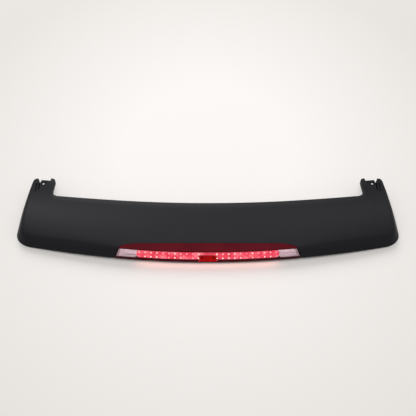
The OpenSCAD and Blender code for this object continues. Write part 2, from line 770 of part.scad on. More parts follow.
// The tray behind the lens, with its two lugs and the window for the socket
tray_gap = lamp_gap + lens_wall + 0.3;
tray_end_gap = lamp_end_gap + lens_wall + 0.3;
tray_wall = 2;
tray_floor_z = lip_z + 0.3;
tray_y = strip_y - tray_gap;
lug_z = panel_z(lamp_screw_places[0]) + panel_wall + 1.4;
socket_x = 0;
socket_z = 22;
socket_w = 20;
socket_h = 11;
module lamp_housing() {
  top_d = rear_lean + strip_depth + 4;
  color("#1c1c1e") difference() {
    union() {
      intersection() {
        swept([
          [frame_reach + 0.3, tray_floor_z], [top_d, tray_floor_z],
          [top_d, frame_floor + 0.1], [frame_reach + 0.3, frame_floor + 0.1]
        ], lamp_half);
        lamp_prism(tray_gap, tray_end_gap, 0, 60);
      }
      intersection() {
        swept([
          [reflector_back + 8, tray_floor_z], [top_d, tray_floor_z],
          [top_d, strip_under(top_d) - 0.3], [reflector_back + 8, strip_under(reflector_back + 8) - 0.3]
        ], lamp_half);
        difference() {
          lamp_prism(tray_gap, tray_end_gap, 0, 60);
          lamp_prism(tray_gap + tray_wall, tray_end_gap + tray_wall, -1, 61);
        }
      }
      for (p = lamp_screw_places)
        translate([p.x - 9, tray_y - 1, lug_z]) cube([18, 20, 2.6]);
    }
    translate([socket_x - socket_w / 2 - 0.2, tray_y - 6, socket_z - socket_h / 2 - 0.2])
      cube([socket_w + 0.4, 12, socket_h + 0.4]);
    for (p = lamp_screw_places) translate([p.x, p.y, lug_z - 2]) cylinder(h = 8, d = pilot_d);
  }
}

socket_len = 22;
module lamp_socket() {
  y0 = tray_y - tray_wall - 4;
  color("#1a1a1a") difference() {
    union() {
      translate([socket_x - socket_w / 2, y0, socket_z - socket_h / 2]) cube([socket_w, socket_len, socket_h]);
      translate([socket_x - socket_w / 2 - 2, tray_y - tray_wall - 1.6, socket_z - socket_h / 2 - 1.5])
        cube([socket_w + 4, 1.4, socket_h + 3]);
    }
    translate([socket_x - socket_w / 2 + 1.4, y0 + 8, socket_z - socket_h / 2 + 1.4])
      cube([socket_w - 2.8, socket_len, socket_h - 2.8]);
    for (x = [-4, 4]) translate([socket_x + x, y0 - 1, socket_z]) rotate([-90, 0, 0]) cylinder(h = 10, d = 1.8);
  }
}
module socket_pins() {
  y0 = tray_y - tray_wall - 4;
  color("#c9a24a") for (x = [-4, 4])
    translate([socket_x + x, y0 - 1.5, socket_z]) rotate([-90, 0, 0]) cylinder(h = 19, d = 1.6);
}

// Foam strip between the front of the tray and the under panel, which ends short of the lamp's rounded ends
gasket_end_gap = 37.5;
gasket_len = lamp_len - 2 * (strip_round + gasket_end_gap);
gasket_h = 5;
module lamp_gasket() {
  color("#3a3a3a") translate([-gasket_len / 2, tray_y, frame_floor])
    cube([gasket_len, strip_y + 0.7 - tray_y, gasket_h]);
}

module pan_screw(length, shank, head, height) {
  difference() {
    union() {
      cylinder(h = height, d = head);
      translate([0, 0, height]) cylinder(h = length, d = shank);
    }
    translate([0, 0, -1]) cylinder(h = 1 + height * 0.6, d = head * 0.42, $fn = 6);
  }
}
module block_screws() {
  color("#26262a") at_block_screws() translate([0, 0, 3.1 - block_head_seat]) mirror([0, 0, 1])
    pan_screw(4.5, thread_d, block_head_hole - 1, 3);
}
module lamp_screws() {
  color("#55555a") for (p = lamp_screw_places) translate([p.x, p.y, panel_z(p) + screw_seat - head_h])
    pan_screw(lug_z - panel_z(p) + 2, thread_d, screw_head, head_h);
}
module shell_screws() {
  color("#55555a") for (p = shell_screw_places) translate([p.x, p.y, panel_z(p) + screw_seat - head_h])
    pan_screw(screw_len, thread_d, screw_head, head_h);
}

module thread_inserts() {
  color("#b8923f") for (p = dome_places) translate([p.x, p.y, seal_h]) difference() {
    cylinder(h = insert_len, d = insert_d);
    translate([0, 0, -1]) cylinder(h = insert_len + 2, d = insert_bore);
  }
}
module dome_seals() {
  color("#3a3a3a") for (p = dome_places) translate([p.x, p.y, 0]) difference() {
    cylinder(h = seal_h, d = dome_d);
    translate([0, 0, -1]) cylinder(h = seal_h + 2, d = insert_d + 2);
  }
}

// Soft seal that follows the front edge under the panel
seal_n = 16;
seal_back = 12;
seal_gap = 0.55;
seal_section = [[-4.5, -5], [-2.5, -6.5], [2.5, -6.5], [4.5, -5], [4.5, -seal_gap], [-4.5, -seal_gap]];
module front_seal() {
  reach = arc_end - 10;
  color("#2b2b2b") swept_sections([for (i = [0 : seal_n])
    let (x = reach * (2 * i / seal_n - 1))
    [for (q = seal_section) let (y = front_at(x) - seal_back + q.x) [x, y, panel_z([x, y]) + q.y]]]);
}

module front_clips() {
  color("#8a8d92") for (p = clip_places)
    translate([p.x - 5, p.y, panel_z(p) - 15]) rotate([90, 0, 90]) linear_extrude(10) polygon([
      [-1.7, 11], [-2.3, 11], [-1.9, 1], [-1.7, 0.2], [1.7, 0.2], [1.9, 1], [4.2, 7], [2.4, 12],
      [1.8, 12], [3.4, 7], [1.3, 0.9], [-1.3, 0.9]
    ]);
}

module ear_grommets() {
  color("#151515") both_sides() difference() {
    on_ear(ear_hole_x, ear_hole_y) {
      translate([0, 0, -ear_sink]) cylinder(h = flange_h, d = ear_grommet_d);
      translate([0, 0, -ear_sink - ear_shelf - 0.2])
        cylinder(h = ear_shelf + 0.2 + flange_h / 2, d = ear_grommet_d - 3.2);
    }
    translate([ear_hole_x, ear_hole_y, 0]) cylinder(h = through, d = ear_hole_d);
  }
}

module cable_grommet() {
  color("#151515") on_panel(cable_place.x, cable_place.y) difference() {
    union() {
      translate([0, 0, -3.4]) cylinder(h = 3, d1 = grommet_hole + 4, d2 = grommet_hole + 8);
      translate([0, 0, -1]) cylinder(h = panel_wall + 2, d = grommet_hole - 0.4);
      translate([0, 0, panel_wall + 0.4]) cylinder(h = 2, d = grommet_hole + 4);
    }
    translate([0, 0, -10]) cylinder(h = 20, d = cable_bore);
  }
}

// Pads that follow the panel's lower face
pad_l = 44;
pad_w = 16;
pad_h = 4;
pad_gap = 0.3;
module foam_pads() {
  color("#3a3a3a") for (p = pad_places) swept_sections([for (dx = [-pad_l / 2 : pad_l / 4 : pad_l / 2])
    [for (q = [[-1, 1], [1, 1], [1, 0], [-1, 0]])
      let (x = p.x + dx, y = p.y + q.x * pad_w / 2) [x, y, panel_z([x, y]) - pad_gap - q.y * pad_h]]]);
}

upper_shell();
lower_shell();
lens_frame();
lens_window();
lamp_optic();
lamp_reflector();
lamp_housing();
led_board();
leds();
lamp_socket();
socket_pins();
lamp_gasket();
block_screws();
lamp_screws();
thread_inserts();
dome_seals();
front_seal();
front_clips();
ear_grommets();
cable_grommet();
shell_screws();
foam_pads();
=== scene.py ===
import math

import bpy
from bpy.props import FloatProperty, IntProperty, PointerProperty, StringProperty
from mathutils import Matrix, Vector


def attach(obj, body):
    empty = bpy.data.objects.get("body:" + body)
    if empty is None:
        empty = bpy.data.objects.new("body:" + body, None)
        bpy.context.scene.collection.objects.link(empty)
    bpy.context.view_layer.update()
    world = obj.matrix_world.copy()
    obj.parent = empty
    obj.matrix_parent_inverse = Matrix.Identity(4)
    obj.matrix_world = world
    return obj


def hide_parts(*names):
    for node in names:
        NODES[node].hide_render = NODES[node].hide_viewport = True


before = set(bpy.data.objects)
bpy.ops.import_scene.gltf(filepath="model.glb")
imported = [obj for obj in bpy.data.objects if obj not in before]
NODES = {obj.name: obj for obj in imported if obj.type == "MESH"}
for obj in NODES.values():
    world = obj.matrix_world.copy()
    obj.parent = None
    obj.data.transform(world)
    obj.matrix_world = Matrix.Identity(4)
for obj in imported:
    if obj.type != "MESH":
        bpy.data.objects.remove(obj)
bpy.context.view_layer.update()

bl_info = {
    "name": "Roof spoiler with brake lamp",
    "version": (1, 0, 0),
    "blender": (4, 5, 0),
    "location": "View3D > Sidebar > Spoiler",
    "description": "Dresses a hatchback's roof spoiler: satin shell, red lamp, seals and fixings",
    "category": "Add Mesh",
}

BODY = "root"


class SPOILER_PG_stage(bpy.types.PropertyGroup):
    """The floor, the light and the camera"""

    floor_colour: StringProperty(
        name="Floor colour", description="sRGB hex colour of the floor", default="#fbf7f4"
    )
    # Painted shade: away from the part the floor is drawn darker, as a pool of light fading out
    floor_shade_colour: StringProperty(
        name="Outer floor colour", description="sRGB hex colour of the floor away from the part",
        default="#e6e2de",
    )
    light_pool_fade: FloatProperty(
        name="Floor fade", description="Distance over which the floor turns to its outer colour",
        default=1.3, unit="LENGTH",
    )
    sky_level: FloatProperty(
        name="Sky level", description="Strength of the even light all round", default=0.545
    )
    key_power: FloatProperty(
        name="Key light", description="Power of the soft light beyond the ears", default=940.0
    )
    fill_power: FloatProperty(
        name="Fill light", description="Power of the soft light over the lamp's side", default=52.0
    )
    glow_power: FloatProperty(
        name="Glow", description="Power of the lamp's light on the floor", default=0.02
    )
    glow_colour: StringProperty(
        name="Glow colour", description="sRGB hex colour of the lamp's light", default="#ff9c8f"
    )
    lens: FloatProperty(name="Lens", description="Focal length of the camera in mm", default=80.0)
    distance: FloatProperty(
        name="Camera distance", description="From the camera to the aim point", default=2.781, unit="LENGTH"
    )
    elevation: FloatProperty(
        name="Camera height angle", description="Angle of the view above the floor",
        default=math.radians(41.2), subtype="ANGLE",
    )


class SPOILER_PG_shell(bpy.types.PropertyGroup):
    """The two plastic shells"""

    skin_colour: StringProperty(
        name="Skin colour", description="sRGB hex colour of the upper shell", default="#1a1a1e"
    )
    panel_colour: StringProperty(
        name="Panel colour", description="sRGB hex colour of the under panel", default="#171719"
    )
    skin_roughness: FloatProperty(
        name="Skin roughness", description="Roughness of the satin skin", default=0.48, min=0.0, max=1.0
    )
    grain: FloatProperty(
        name="Grain", description="Size of the moulded grain, coarser than the real 0.2 mm so that it shows",
        default=0.0011, unit="LENGTH",
    )


class SPOILER_PG_lamp(bpy.types.PropertyGroup):
    """The brake lamp"""

    strip_colour: StringProperty(
        name="Strip colour", description="sRGB hex colour of the red frame", default="#5e111b"
    )
    block_colour: StringProperty(
        name="Block colour", description="sRGB hex colour of the centre block", default="#9c0608"
    )
    lit_colour: StringProperty(
        name="Lit colour", description="sRGB hex colour of the lit optic", default="#e04058"
    )
    spot_colour: StringProperty(
        name="Spot colour", description="sRGB hex colour of the light points", default="#ffd6c4"
    )
    lit_level: FloatProperty(name="Lit level", description="Strength of the optic's glow", default=0.64)
    spot_level: FloatProperty(name="Spot level", description="Strength of the light points", default=1.5)
    deep_colour: StringProperty(
        name="Deep colour", description="sRGB hex colour of the optic's darker places", default="#d82a44"
    )
    pale_colour: StringProperty(
        name="Pale colour", description="sRGB hex colour of the optic's paler places", default="#f67c88"
    )
    # Painted shade: the lip and the brow over the window are drawn darker, as they lie in shade
    lip_shade_colour: StringProperty(
        name="Lip colour", description="sRGB hex colour of the frame's lip and brow", default="#3c060c"
    )
    end_colour: StringProperty(
        name="End colour", description="sRGB hex colour of the frame's end walls", default="#d9c4cc"
    )
    block_glow: FloatProperty(
        name="Block glow", description="Strength of the centre block's glow", default=0.25
    )
    columns: IntProperty(
        name="Columns", description="Columns of light points, with the two that the block hides", default=24
    )
    pitch: FloatProperty(
        name="Pitch", description="Distance between columns", default=0.0172, unit="LENGTH"
    )


# Sizes of the lamp's face in metres, the same as the solids have
TRAIL_R = 2.0
TRAIL_Y = -0.166
LIP_Z = 0.008
FACE_ANGLE = math.atan2(0.026, 0.016)
ROWS = (0.0105, 0.0225)
OPTIC_DEPTH = 0.004
PILLOW = 0.0011

# Bounds of the places where the red frame changes its colour or is drawn in painted shade, as heights and as
# distances from the middle
LIP_TOP_Z = 0.0124
BROW_MID_Z = 0.0323
BROW_HALF_Z = 0.0013
BLOCK_HALF = 0.0275
BLOCK_MID_Z = 0.0178
BLOCK_HALF_Z = 0.0080
END_WALL_X = 0.2505
END_WALL_MID_Z = 0.0216
END_WALL_HALF_Z = 0.0094

# The bright heart of a pillow is a flattened dome
SPOT_R = 0.0019
SPOT_FLATNESS = 0.3
SPOT_SIDES = 14
SPOT_RINGS = 8

# On a merged copy of a CAD node, edges flatter than these angles are smooth
MERGE_DISTANCE = 2e-6
SHELL_ANGLE = math.radians(32)
SOFT_ANGLE = math.radians(40)

# The under panel's grain is coarser than the skin's and stands out more
SKIN_RELIEF = 0.12
PANEL_ROUGHNESS = 0.6
PANEL_RELIEF = 0.5
PANEL_COARSENESS = 1.5

# Depth in metres that a moulded grain and a skin of cells have at full strength
GRAIN_DEPTH = 0.0002
CELL_DEPTH = 0.0003

# How many patches of each pattern a metre holds
SKIN_CLOUDS = 5.0
DYE_CLOUDS = 26.0
WINDOW_HAZE = 120.0
PILLOW_GLOW = 55.0
SPOT_GLOW = 34.0
PLASTIC_CLOUDS = 260.0
METAL_MARKS = 900.0

# The floor's painted pool of light: its pale middle lies beyond the ears, and is narrower along X than along
# Y
FLOOR_SIZE = 24
FLOOR_SHIFT = (0.0, -0.35, 0.0)
FLOOR_STRETCH = (1.4, 1.0, 1.0)
FLOOR_PALE_SHARE = 0.3

# The soft lights: places and widths
KEY_PLACE = (-0.9, 11.0, 6.2)
KEY_WIDTH = 6.0
FILL_PLACE = (0.0, -2.4, 4.5)
FILL_WIDTH = 2.4

# The lit lamp's light on the floor: a row of flat lights just outside the lip, facing down and outwards
GLOWS = 5
GLOW_PITCH = 0.08
GLOW_HEIGHT = 0.008
GLOW_UP = 0.005
GLOW_OUT = 0.007
GLOW_AIM = (0.0, -0.55, -0.84)

CAMERA_AIM = (0.0005, 0.0435, 0.030)
SENSOR_WIDTH = 36
CLIP_END = 100


def linear(hex_colour):
    """Scene-linear colour with alpha 1 of an sRGB hex value."""
    out = []
    for i in (1, 3, 5):
        c = int(hex_colour[i:i + 2], 16) / 255
        out.append(c / 12.92 if c <= 0.04045 else ((c + 0.055) / 1.055) ** 2.4)
    return (*out, 1.0)


def add_node(tree, kind, settings=None, inputs=None, links=None, stops=()):
    """A node with its settings, input values, the sockets linked to its inputs, and its colour stops."""
    node = tree.nodes.new(kind)
    for name, value in (settings or {}).items():
        setattr(node, name, value)
    for name, value in (inputs or {}).items():
        node.inputs[name].default_value = value
    for name, socket in (links or {}).items():
        tree.links.new(socket, node.inputs[name])
    for index, (place, colour) in enumerate(stops):
        if index == len(node.color_ramp.elements):
            node.color_ramp.elements.new(place)
        node.color_ramp.elements[index].position = place
        node.color_ramp.elements[index].color = colour
    return node


def new_material(name, **shader_inputs):
    """A material, its tree and its one Principled shader, with the inputs that are given."""
    material = bpy.data.materials.new(name)
    material.use_nodes = True
    tree = material.node_tree
    shader = tree.nodes["Principled BSDF"]
    for key, value in shader_inputs.items():
        shader.inputs[key.replace("_", " ")].default_value = value
    return material, tree, shader


def tinted(colour, factor):
    """The colour made lighter or darker by a factor."""
    return tuple(c * factor for c in colour[:3]) + (1.0,)


def clear_selection():
    """Leaves edit mode and deselects everything."""
    if bpy.context.object and bpy.context.object.mode != "OBJECT":
        bpy.ops.object.mode_set(mode="OBJECT")
    bpy.ops.object.select_all(action="DESELECT")


def only(obj):
    """Makes an object the active one and the only one selected."""
    clear_selection()
    obj.select_set(True)
    bpy.context.view_layer.objects.active = obj


def settle(obj):
    """Puts an object's place into its mesh."""
    only(obj)
    bpy.ops.object.transform_apply(location=True, rotation=True, scale=True)


def hand_in(piece, material, replaced=()):
    """Gives a finished piece its material and its body, and hides the CAD nodes that it stands for."""
    piece.data.materials.clear()
    piece.data.materials.append(material)
    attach(piece, BODY)
    if replaced:
        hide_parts(*replaced)


def paint(node, material):
    """Gives a CAD node a better material."""
    obj = NODES[node]
    if not obj.data.materials:
        obj.data.materials.append(material)
    for i in range(len(obj.data.materials)):
        obj.data.materials[i] = material


def smooth_copy(node, name, angle):
    """A merged copy of a CAD node, smooth across edges flatter than the angle."""
    source = NODES[node]
    piece = bpy.data.objects.new(name, source.data.copy())
    bpy.context.scene.collection.objects.link(piece)
    only(piece)
    if piece.data.has_custom_normals:
        bpy.ops.mesh.customdata_custom_splitnormals_clear()
    bpy.ops.object.mode_set(mode="EDIT")
    bpy.ops.mesh.select_all(action="SELECT")
    bpy.ops.mesh.remove_doubles(threshold=MERGE_DISTANCE)
    bpy.ops.object.mode_set(mode="OBJECT")
    bpy.ops.object.shade_smooth_by_angle(angle=angle)
    return piece


def face_frame(x, up, depth=0.0):
    """Place and turn at a point of the lamp's face: along the arc, up the slanted face and into it."""
    c, s = math.cos(FACE_ANGLE), math.sin(FACE_ANGLE)
    inward = up * c + depth * s
    z = LIP_Z + up * s - depth * c
    turn = math.asin(x / TRAIL_R)
    r = TRAIL_R - inward
    place = Vector((r * math.sin(turn), TRAIL_Y + TRAIL_R - r * math.cos(turn), z))
    spin = Matrix.Rotation(turn, 4, "Z") @ Matrix.Rotation(FACE_ANGLE, 4, "X")
    return Matrix.Translation(place) @ spin


def light_columns(settings):
    """Places of the light points along the arc, without the middle two, which the block hides."""
    middle = (settings.columns - 1) / 2
    return [(i - middle) * settings.pitch for i in range(settings.columns) if abs(i - middle) > 1]


# Finishes


def satin_abs(name, colour, roughness, grain, bump):
    """ABS, injection-moulded, primed or left as moulded: an even black, a soft sheen and a fine grain."""
    base = linear(colour)
    material, tree, shader = new_material(name, IOR=1.53, Specular_IOR_Level=0.11)
    place = add_node(tree, "ShaderNodeTexCoord").outputs["Object"]
    cloud = add_node(
        tree, "ShaderNodeTexNoise", inputs={"Scale": SKIN_CLOUDS, "Detail": 3.0, "Roughness": 0.5},
        links={"Vector": place},
    ).outputs["Fac"]
    tint = add_node(
        tree, "ShaderNodeValToRGB", links={"Fac": cloud},
        stops=[(0.35, tinted(base, 0.94)), (0.65, tinted(base, 1.06))],
    ).outputs["Color"]
    tree.links.new(tint, shader.inputs["Base Color"])
    sheen = add_node(
        tree, "ShaderNodeMapRange", inputs={"To Min": roughness - 0.03, "To Max": roughness + 0.03},
        links={"Value": cloud},
    ).outputs["Result"]
    tree.links.new(sheen, shader.inputs["Roughness"])
    fine = add_node(
        tree, "ShaderNodeTexNoise", inputs={"Scale": 1 / grain, "Detail": 2.0}, links={"Vector": place}
    ).outputs["Fac"]
    relief = add_node(
        tree, "ShaderNodeBump", inputs={"Strength": bump, "Distance": GRAIN_DEPTH}, links={"Height": fine}
    ).outputs["Normal"]
    tree.links.new(relief, shader.inputs["Normal"])
    return material


def dyed_pmma(settings):
    """PMMA, dyed deep red: a dark red with a faint gloss, brighter where the block is lit from behind, and
    with painted shade on the lip and the brow.
    """
    material, tree, shader = new_material("dyed_pmma", Roughness=0.18, IOR=1.49, Specular_IOR_Level=0.07)
    place = add_node(tree, "ShaderNodeTexCoord").outputs["Object"]
    axes = add_node(tree, "ShaderNodeSeparateXYZ", links={"Vector": place})
    across = add_node(
        tree, "ShaderNodeMath", settings={"operation": "COMPARE"}, inputs={1: 0.0, 2: BLOCK_HALF},
        links={0: axes.outputs["X"]},
    ).outputs["Value"]
    height = add_node(
        tree, "ShaderNodeMath", settings={"operation": "COMPARE"}, inputs={1: BLOCK_MID_Z, 2: BLOCK_HALF_Z},
        links={0: axes.outputs["Z"]},
    ).outputs["Value"]
    block = add_node(
        tree, "ShaderNodeMath", settings={"operation": "MULTIPLY"}, links={0: across, 1: height}
    ).outputs["Value"]
    cloud = add_node(
        tree, "ShaderNodeTexNoise", inputs={"Scale": DYE_CLOUDS, "Detail": 2.0}, links={"Vector": place}
    ).outputs["Fac"]
    strip = linear(settings.strip_colour)
    dark = add_node(
        tree, "ShaderNodeValToRGB", links={"Fac": cloud},
        stops=[(0.35, tinted(strip, 0.88)), (0.65, tinted(strip, 1.1))],
    ).outputs["Color"]
    red = linear(settings.block_colour)
    bright = add_node(
        tree, "ShaderNodeValToRGB", links={"Fac": cloud},
        stops=[(0.35, tinted(red, 0.7)), (0.65, tinted(red, 1.25))],
    ).outputs["Color"]
    # The window's ends are clear, so the end walls behind them look silvery pink
    ends = add_node(
        tree, "ShaderNodeMath", settings={"operation": "COMPARE"}, inputs={1: 0.0, 2: END_WALL_X},
        links={0: axes.outputs["X"]},
    ).outputs["Value"]
    wall = add_node(
        tree, "ShaderNodeMath", settings={"operation": "COMPARE"},
        inputs={1: END_WALL_MID_Z, 2: END_WALL_HALF_Z}, links={0: axes.outputs["Z"]},
    ).outputs["Value"]
    pale = add_node(
        tree, "ShaderNodeMath", settings={"operation": "SUBTRACT", "use_clamp": True},
        links={0: wall, 1: ends},
    ).outputs["Value"]
    # The lip and the brow over the window lie in shade: painted shade gives them the deepest red
    low = add_node(
        tree, "ShaderNodeMath", settings={"operation": "LESS_THAN"}, inputs={1: LIP_TOP_Z},
        links={0: axes.outputs["Z"]},
    ).outputs["Value"]
    brow = add_node(
        tree, "ShaderNodeMath", settings={"operation": "COMPARE"}, inputs={1: BROW_MID_Z, 2: BROW_HALF_Z},
        links={0: axes.outputs["Z"]},
    ).outputs["Value"]
    painted_shade_mask = add_node(
        tree, "ShaderNodeMath", settings={"operation": "MAXIMUM"}, links={0: low, 1: brow}
    ).outputs["Value"]
    # A colour Mix node takes its two colours at inputs 6 and 7 and gives its result at output 2
    frame_red = add_node(
        tree, "ShaderNodeMix", settings={"data_type": "RGBA"}, inputs={7: linear(settings.lip_shade_colour)},
        links={"Factor": painted_shade_mask, 6: dark},
    ).outputs[2]
    both = add_node(
        tree, "ShaderNodeMix", settings={"data_type": "RGBA"},
        links={"Factor": block, 6: frame_red, 7: bright},
    ).outputs[2]
    body = add_node(
        tree, "ShaderNodeMix", settings={"data_type": "RGBA"}, inputs={7: linear(settings.end_colour)},
        links={"Factor": pale, 6: both},
    ).outputs[2]
    tree.links.new(body, shader.inputs["Base Color"])
    tree.links.new(body, shader.inputs["Emission Color"])
    glow = add_node(
        tree, "ShaderNodeMath", settings={"operation": "MULTIPLY"}, inputs={1: settings.block_glow},
        links={0: block},
    ).outputs["Value"]
    tree.links.new(glow, shader.inputs["Emission Strength"])
    return material


def clear_pmma():
    """PMMA, clear and thin: lets the optic and the reflector show through, with a faint pink of its own."""
    # PMMA's own IOR is 1.49: this lower one mirrors and bends less, so what lies behind shows clearly
    material, tree, shader = new_material(
        "clear_pmma", IOR=1.3, Transmission_Weight=1.0, Base_Color=linear("#fff0f4"), Specular_IOR_Level=0.2
    )
    place = add_node(tree, "ShaderNodeTexCoord").outputs["Object"]
    haze = add_node(
        tree, "ShaderNodeTexNoise", inputs={"Scale": WINDOW_HAZE, "Detail": 1.0}, links={"Vector": place}
    ).outputs["Fac"]
    spread = add_node(
        tree, "ShaderNodeMapRange", inputs={"To Min": 0.02, "To Max": 0.08}, links={"Value": haze}
    ).outputs["Result"]
    tree.links.new(spread, shader.inputs["Roughness"])
    return material


def lit_pmma(settings):
    """PMMA, red and pillowed, lit from behind: a pink-red glow that swells and fades along the row."""
    material, tree, shader = new_material(
        "lit_pmma", Roughness=0.3, IOR=1.49, Emission_Strength=settings.lit_level
    )
    place = add_node(tree, "ShaderNodeTexCoord").outputs["Object"]
    flicker = add_node(
        tree, "ShaderNodeTexNoise", inputs={"Scale": PILLOW_GLOW, "Detail": 1.5}, links={"Vector": place}
    ).outputs["Fac"]
    glow = add_node(
        tree, "ShaderNodeValToRGB", links={"Fac": flicker},
        stops=[
            (0.3, linear(settings.deep_colour)),
            (0.5, linear(settings.lit_colour)),
            (0.72, linear(settings.pale_colour)),
        ],
    ).outputs["Color"]
    tree.links.new(glow, shader.inputs["Emission Color"])
    tree.links.new(glow, shader.inputs["Base Color"])
    return material


def lit_spot(settings):
    """The bright heart of each pillow, over its light point: some are brighter than others."""
    material, tree, shader = new_material("lit_spot", Roughness=0.3, Emission_Strength=settings.spot_level)
    place = add_node(tree, "ShaderNodeTexCoord").outputs["Object"]
    swell = add_node(
        tree, "ShaderNodeTexNoise", inputs={"Scale": SPOT_GLOW, "Detail": 0.0}, links={"Vector": place}
    ).outputs["Fac"]
    glow = add_node(
        tree, "ShaderNodeValToRGB", links={"Fac": swell},
        stops=[(0.4, linear(settings.pale_colour)), (0.6, linear(settings.spot_colour))],
    ).outputs["Color"]
    tree.links.new(glow, shader.inputs["Emission Color"])
    tree.links.new(glow, shader.inputs["Base Color"])
    return material


def metal(name, colour, roughness, streak, depth, glow=0.0, across=METAL_MARKS):
    """Metal with fine marks along X, as dark as the depth says.

    Streak and across say how many marks a metre holds along X and across it, and glow is how strongly
    the metal passes on a light close behind it."""
    base = linear(colour)
    material, tree, shader = new_material(name, Metallic=1.0, Emission_Strength=glow)
    place = add_node(tree, "ShaderNodeTexCoord").outputs["Object"]
    mapped = add_node(
        tree, "ShaderNodeMapping", inputs={"Scale": (streak, across, across)}, links={"Vector": place}
    ).outputs["Vector"]
    marks = add_node(
        tree, "ShaderNodeTexNoise", inputs={"Scale": 1.0, "Detail": 2.0}, links={"Vector": mapped}
    ).outputs["Fac"]
    tint = add_node(
        tree, "ShaderNodeValToRGB", links={"Fac": marks},
        stops=[(0.3, tinted(base, 1 - depth)), (0.7, base)],
    ).outputs["Color"]
    tree.links.new(tint, shader.inputs["Base Color"])
    tree.links.new(tint, shader.inputs["Emission Color"])
    rough = add_node(
        tree, "ShaderNodeMapRange",
        inputs={"To Min": roughness * (1 + depth), "To Max": roughness * (1 - depth)},
        links={"Value": marks},
    ).outputs["Result"]
    tree.links.new(rough, shader.inputs["Roughness"])
    return material


def soft_stuff(name, colour, roughness, cell, bump):
    """Rubber or closed-cell foam: matt, with a skin of small cells, drawn coarser than real to show."""
    base = linear(colour)
    material, tree, shader = new_material(name, Roughness=roughness, Specular_IOR_Level=0.15)
    place = add_node(tree, "ShaderNodeTexCoord").outputs["Object"]
    cells = add_node(
        tree, "ShaderNodeTexVoronoi", inputs={"Scale": 1 / cell}, links={"Vector": place}
    ).outputs["Distance"]
    tint = add_node(
        tree, "ShaderNodeValToRGB", links={"Fac": cells},
        stops=[(0.0, tinted(base, 0.75)), (0.6, tinted(base, 1.15))],
    ).outputs["Color"]
    tree.links.new(tint, shader.inputs["Base Color"])
    relief = add_node(
        tree, "ShaderNodeBump", inputs={"Strength": bump, "Distance": CELL_DEPTH}, links={"Height": cells}
    ).outputs["Normal"]
    tree.links.new(relief, shader.inputs["Normal"])
    return material


def plain_plastic(name, colour, roughness):
    """Moulded plastic of a small inner piece, with a faint cloudiness."""
    base = linear(colour)
    material, tree, shader = new_material(name, Roughness=roughness, IOR=1.5)
    place = add_node(tree, "ShaderNodeTexCoord").outputs["Object"]
    cloud = add_node(
        tree, "ShaderNodeTexNoise", inputs={"Scale": PLASTIC_CLOUDS, "Detail": 2.0}, links={"Vector": place}
    ).outputs["Fac"]
    tint = add_node(
        tree, "ShaderNodeValToRGB", links={"Fac": cloud},
        stops=[(0.3, tinted(base, 0.88)), (0.7, tinted(base, 1.12))],
    ).outputs["Color"]
    tree.links.new(tint, shader.inputs["Base Color"])
    return material


